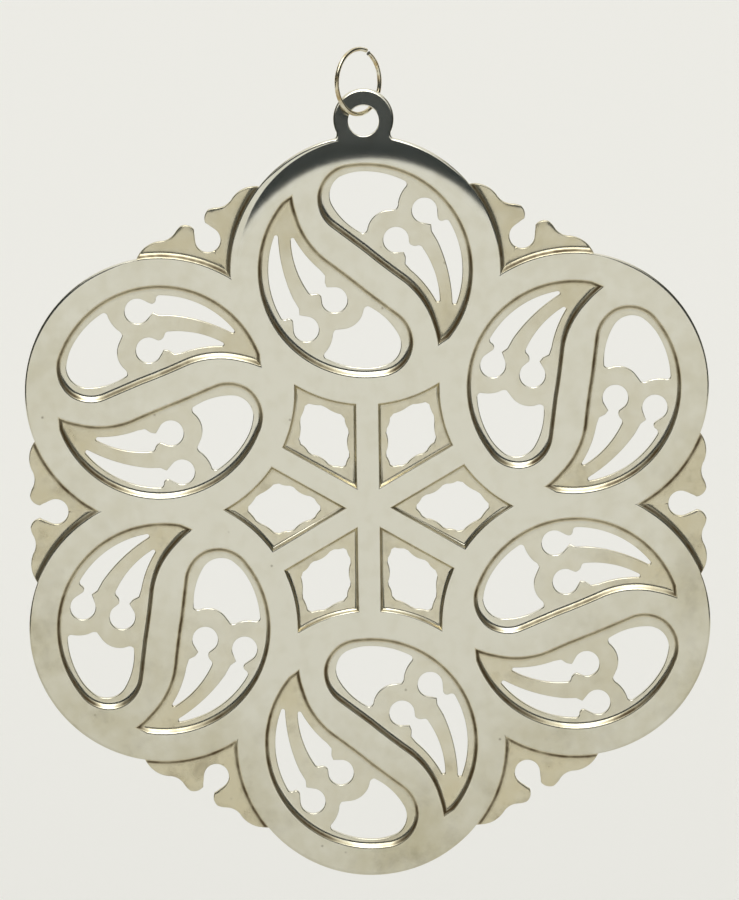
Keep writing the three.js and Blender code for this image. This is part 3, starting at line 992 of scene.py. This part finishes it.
    def pierce(self, skin: Skin) -> set[bmesh.types.BMFace]:
        """Sink the fields, with their openings, and cut the tab's hole.

        Returns:
            The fields' flat faces.
        """
        pierced = self.opening_steps(self.floor_height)
        tracery = [
            (outline(list(shape.value), self.panel_radius), self.floor_height, pierced) for shape in Tracery
        ]
        comma = (outline(self.comma(), self.panel_radius), self.thickness, self.wide_edge.steps())
        kite, kite_opening = (outline(corners) for corners in self.kite())
        lobe = Vector((0, self.lobe_pitch_radius))
        flat: set[bmesh.types.BMFace] = set()
        for angle in self.angles(0):
            for half_turn in (0, 180):
                for shape, height, steps in (*tracery, comma):
                    points = turned(turned(shape, half_turn), angle, lobe)
                    skin.sink(points, height, steps, self.comma_films(shape))
                flat |= set(skin.close(self.floor_height))
            for shape, height, steps in (
                (kite, self.thickness, self.kite_edge.steps()), (kite_opening, self.floor_height, pierced),
            ):
                skin.sink(turned(shape, angle), height, steps, [self.kite_film] * len(shape))
            flat |= set(skin.close(self.floor_height))
        hole = [polar(self.hole_radius, 5 * step) + Vector((0, self.hole_height)) for step in range(72)]
        skin.sink(hole, self.thickness, self.opening_steps(self.thickness), [0.0] * len(hole))
        return flat

    def finish(self, place: Matrix) -> bpy.types.Material:
        """Make the finish, with its haze and its crest where the plate has them."""
        crest = place @ Vector((self.crest_shift, self.lobe_pitch_radius - self.crest_drop, 0))
        rim = place @ Vector((self.crest_rim_shift, self.lobe_pitch_radius, 0))
        tab_foot = self.lobe_pitch_radius + self.lobe_radius - self.crest_tab_drop
        middle = place.translation
        return SilverPlate(
            middle=(middle.x, 0, middle.z), crest_middle=(crest.x, 0, crest.z), rim_middle=(rim.x, 0, rim.z),
            tab_foot=middle.z + tab_foot * MM,
        ).material()

    def build(self) -> bpy.types.Object:
        """Build the plate.

        Returns:
            The piece.
        """
        skin = Skin()
        columns, edge = self.skirt()
        rows = [[place for place, _ in row] for row in zip(*columns)]
        soil_and_shade_rows = [[soil_and_shade for _, soil_and_shade in row] for row in zip(*columns)]
        soil_and_shade_rows[0] = [0.0] * len(columns)
        skin.stack(rows, soil_and_shade_rows)
        foot = grown([point.xy for point in edge], -self.back_round)
        skin.stack([
            edge, [Vector((p.x, p.y, self.back_round)) for p in edge], [Vector((*p, 0)) for p in foot],
        ], [[self.rim_film] * len(edge)] * 3)
        flat = self.pierce(skin)
        bmesh.ops.remove_doubles(skin.mesh, verts=skin.mesh.verts, dist=MERGE_DISTANCE)
        flat |= set(skin.close(self.thickness)) | set(skin.close(0))
        log.info("open edges left: %d", len(skin.open_edges()))

        low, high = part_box("snowflake_plate")
        place = Matrix((
            (MM, 0, 0, (low.x + high.x) / 2), (0, 0, -MM, high.y),
            (0, MM, 0, high.z - self.top * MM), (0, 0, 0, 1),
        ))
        piece = skin.finish("snowflake_stamping", place, flat)
        piece.data.materials.append(self.finish(place))
        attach(piece, "plate")
        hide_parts("snowflake_plate")
        return piece


# The ring


@dataclass
class JumpRing:
    """The open wire ring that the ornament hangs from, in millimetres and degrees."""

    radius: float = 3.6
    wire_radius: float = 0.25
    turn: float = 47.5
    gap_angle: float = 63.0
    gap_width: float = 0.8
    spring: float = 0.3

    def build(self) -> bpy.types.Object:
        """Build the ring.

        Returns:
            The piece.
        """
        skin = Skin()
        gap = math.degrees(self.gap_width / self.radius)
        start = self.gap_angle - gap / 2
        across = Matrix.Rotation(math.radians(-start), 4, "Y") @ Matrix.Translation((self.radius, 0, 0))
        sides, steps = 20, 150
        section = bmesh.ops.create_circle(skin.mesh, segments=sides, radius=self.wire_radius, matrix=across)
        bmesh.ops.spin(
            skin.mesh, geom=section["verts"] + skin.mesh.edges[:], cent=(0, 0, 0), axis=(0, 1, 0),
            angle=math.radians(360 - gap), steps=steps,
        )
        for vert in skin.mesh.verts:
            angle = math.degrees(math.atan2(vert.co.z, vert.co.x))
            share = ((start - angle) % 360) / (360 - gap)
            vert.co.y += self.spring * (1 - min(share, 1)) ** 3
        bmesh.ops.holes_fill(skin.mesh, edges=skin.open_edges())
        place = (
            Matrix.Rotation(math.radians(self.turn), 4, "Z")
            @ Matrix.Translation((0, 0, (self.wire_radius - self.radius) * MM)) @ Matrix.Scale(MM, 4)
        )
        piece = skin.finish("jump_ring_wire", place, set())
        piece.data.materials.append(SilverWire().material())
        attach(piece, "ring")
        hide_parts("jump_ring")
        return piece


# The studio


@dataclass
class Studio:
    """A pale floor, soft light from above, dark cards in front, and the camera, in metres and degrees."""

    plate_top: float
    background: str = "#f4f4f1"
    floor: str = "#f6f5f1"
    floor_radius: float = 6.0
    floor_drop: float = 0.2
    camera_place: tuple[float, float, float] = (-0.0024, -0.7028, 0.0951)
    aim: tuple[float, float] = (0.0002, 0.0065)
    picture_height: float = 0.10015
    roll: float = 0.75
    card: str = "#303537"
    lens_card: str = "#343b3f"
    card_distance: float = 0.75
    card_end: float = 112.0
    card_foot: float = -9.0
    card_left_top: float = 50.0
    card_right_top: float = 54.0
    card_start: float = 42.0
    card_step: float = 4.0
    lens_card_half: float = 42.0
    lens_card_top: float = 30.0
    lens_card_foot: float = 4.0
    lamp_place: tuple[float, float, float] = (-0.02, -0.42, 0.6)
    lamp_size: tuple[float, float] = (0.34, 0.6)
    lamp_power: float = 1.6
    sensor_width: float = 36.0

    def build(self) -> None:
        """Make the world, the floor, the cards, the lamp and the camera."""
        low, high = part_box("snowflake_plate")
        middle = Vector(((low.x + high.x) / 2, low.y, high.z - self.plate_top * MM))
        scene = bpy.context.scene
        scene.view_settings.view_transform = "Standard"
        world = bpy.data.worlds.new("studio")
        scene.world = world
        world.use_nodes = True
        world.node_tree.nodes["Background"].inputs["Color"].default_value = linear(self.background)
        self.make_floor(low.z - self.floor_drop)
        half = self.lens_card_half
        for name, colour, first, last, foot, top in (
            ("card_left", self.card, -self.card_end, -self.card_start, self.card_foot, self.card_left_top),
            ("card_right", self.card, self.card_start, self.card_end, self.card_foot, self.card_right_top),
            ("card_over_lens", self.lens_card, -half, half, self.lens_card_foot, self.lens_card_top),
        ):
            heights = [self.card_distance * math.tan(math.radians(angle)) for angle in (foot, top)]
            self.make_card(name, colour, middle, (first, last), heights)
        self.make_lamp(middle)
        self.make_camera(middle)

    def make_floor(self, height: float) -> None:
        """Lay the floor under the ornament."""
        mesh = bmesh.new()
        bmesh.ops.create_circle(mesh, cap_ends=True, segments=96, radius=self.floor_radius)
        bmesh.ops.translate(mesh, verts=mesh.verts, vec=(0, 0, height))
        self.stage_piece("floor", mesh, paper("paper_floor_matt", self.floor))

    def make_card(
        self, name: str, colour: str, middle: Vector, angles: tuple[float, float], heights: list[float]
    ) -> None:
        """Stand a dark curved card in front of the ornament, for its polished edges to mirror.

        Args:
            name: The card's name.
            colour: Its colour.
            middle: The middle of the plate.
            angles: Where the card starts and ends, about the plate from straight ahead.
            heights: The card's lower and upper edge over the middle of the plate.
        """
        mesh = bmesh.new()
        ends = [mesh.verts.new((0, -self.card_distance, height)) for height in heights]
        line = [mesh.edges.new(ends)]
        start, sweep = angles[0], angles[1] - angles[0]
        turn = Matrix.Rotation(math.radians(start), 3, "Z")
        bmesh.ops.rotate(mesh, cent=(0, 0, 0), matrix=turn, verts=ends)
        bmesh.ops.spin(
            mesh, geom=ends + line, cent=(0, 0, 0), axis=(0, 0, 1),
            angle=math.radians(sweep), steps=int(sweep / self.card_step),
        )
        bmesh.ops.translate(mesh, verts=mesh.verts, vec=middle)
        self.stage_piece(name, mesh, paper(name + "_matt", colour)).visible_camera = False

    def stage_piece(
        self, name: str, mesh: bmesh.types.BMesh, material: bpy.types.Material
    ) -> bpy.types.Object:
        """Make a mesh part of the stage."""
        data = bpy.data.meshes.new(name)
        mesh.to_mesh(data)
        mesh.free()
        data.materials.append(material)
        piece = bpy.data.objects.new(name, data)
        bpy.context.scene.collection.objects.link(piece)
        return piece

    def make_lamp(self, middle: Vector) -> None:
        """Hang the soft lamp and aim it at the middle of the plate."""
        data = bpy.data.lights.new("top_softbox", "AREA")
        data.shape = "RECTANGLE"
        data.size, data.size_y = self.lamp_size
        data.energy = self.lamp_power
        lamp = bpy.data.objects.new("top_softbox", data)
        bpy.context.scene.collection.objects.link(lamp)
        place = Vector(self.lamp_place)
        lamp.location = middle + place
        lamp.rotation_euler = (-place).to_track_quat("-Z", "Y").to_euler()

    def make_camera(self, middle: Vector) -> None:
        """Set the camera a little over the plate's middle and look down on it, as the photograph does."""
        data = bpy.data.cameras.new("camera")
        place = Vector(self.camera_place)
        way = Vector((self.aim[0], 0, self.aim[1])) - place
        data.sensor_width = self.sensor_width
        data.lens = self.sensor_width * way.length / self.picture_height
        data.clip_end = 30.0
        camera = bpy.data.objects.new("camera", data)
        bpy.context.scene.collection.objects.link(camera)
        camera.location = middle + place
        turn = way.to_track_quat("-Z", "Y").to_matrix() @ Matrix.Rotation(math.radians(-self.roll), 3, "Z")
        camera.rotation_euler = turn.to_euler()
        bpy.context.scene.camera = camera


def main() -> None:
    """Build the ornament and its studio, and report each piece."""
    logging.basicConfig(level=logging.INFO, format="%(message)s")
    plate = Plate()
    Studio(plate.top).build()
    for part in (JumpRing(), plate):
        piece = part.build()
        piece.data.calc_loop_triangles()
        log.info("%s: %d triangles", piece.name, len(piece.data.loop_triangles))


if __name__ == "__main__":
    main()
